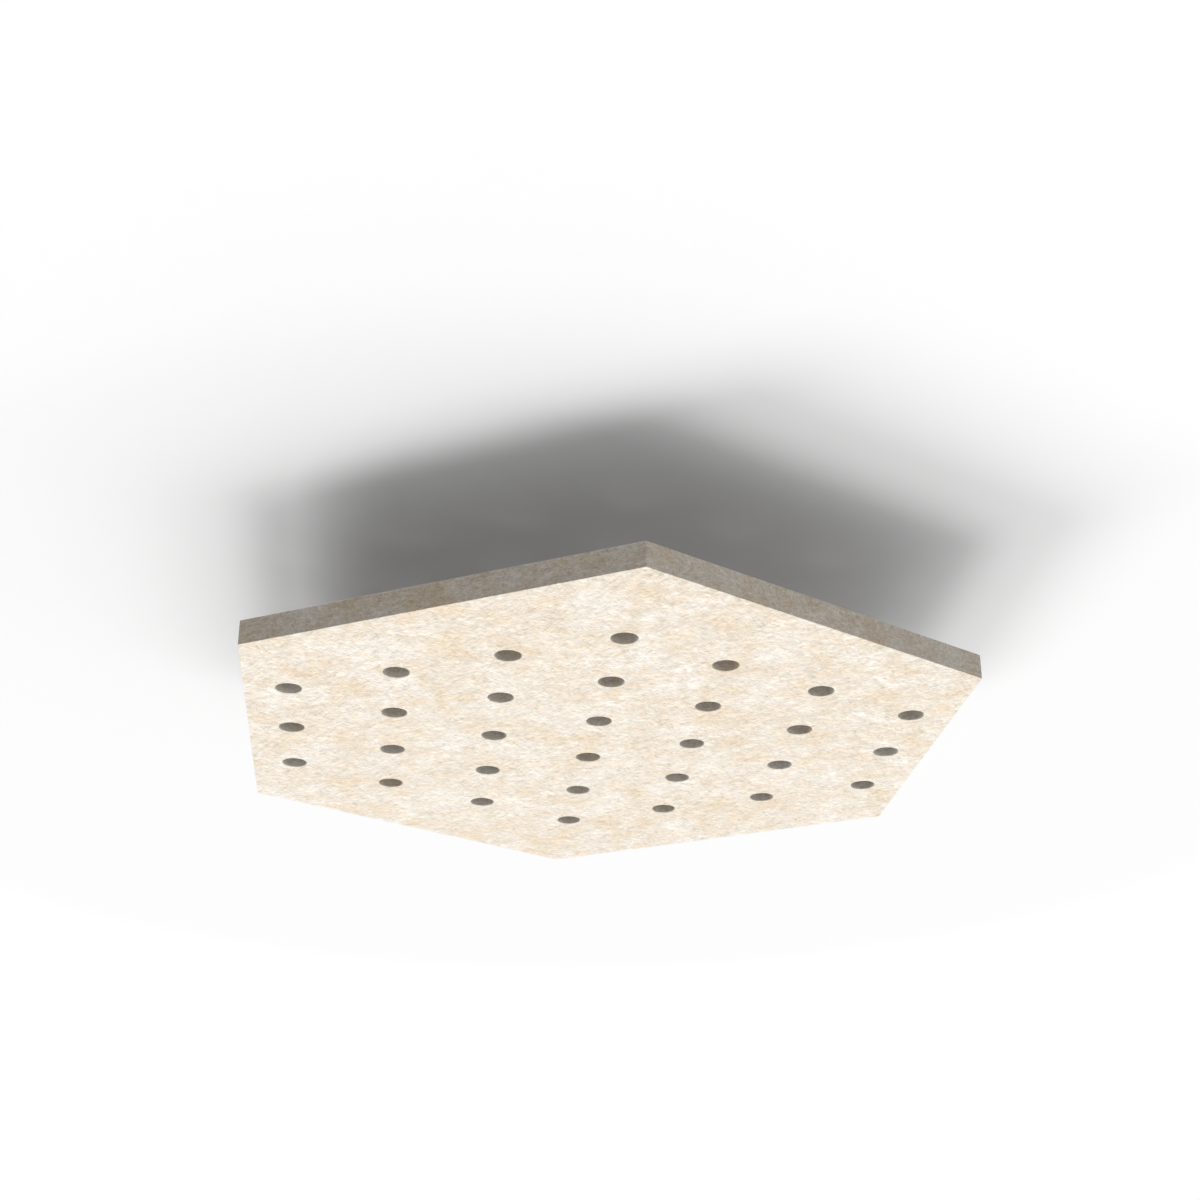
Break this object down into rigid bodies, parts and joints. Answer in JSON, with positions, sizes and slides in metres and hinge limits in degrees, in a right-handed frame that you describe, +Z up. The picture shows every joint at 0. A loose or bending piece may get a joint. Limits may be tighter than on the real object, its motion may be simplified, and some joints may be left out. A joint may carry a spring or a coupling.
{
  "type": "acoustic ceiling panel",
  "caption": "Hexagonal pressed-felt acoustic ceiling panel with a staggered pattern of round perforations and eye bolts on its back for hanging wires.",
  "frame": {"origin": "centre of the visible face, which is the underside of the hanging panel", "axes": "+Z up to the ceiling, square to the panel; +Y to a corner of the hexagon, away from the viewer of the picture; +X to the middle of a side"},
  "size_m": [0.6842, 0.79, 0.052],
  "materials": {
    "felt": "pressed polyester felt, cream marl",
    "insert_steel": "zinc plated, satin",
    "eye_bolt_steel": "bright zinc plated"
  },
  "bodies": {
    "root": {"felt_panel": "felt", "insert_front_left": "insert_steel", "insert_front_right": "insert_steel", "insert_back_left": "insert_steel", "insert_back_right": "insert_steel", "eye_bolt_front_left": "eye_bolt_steel", "eye_bolt_front_right": "eye_bolt_steel", "eye_bolt_back_left": "eye_bolt_steel", "eye_bolt_back_right": "eye_bolt_steel"}
  },
  "joints": []
}
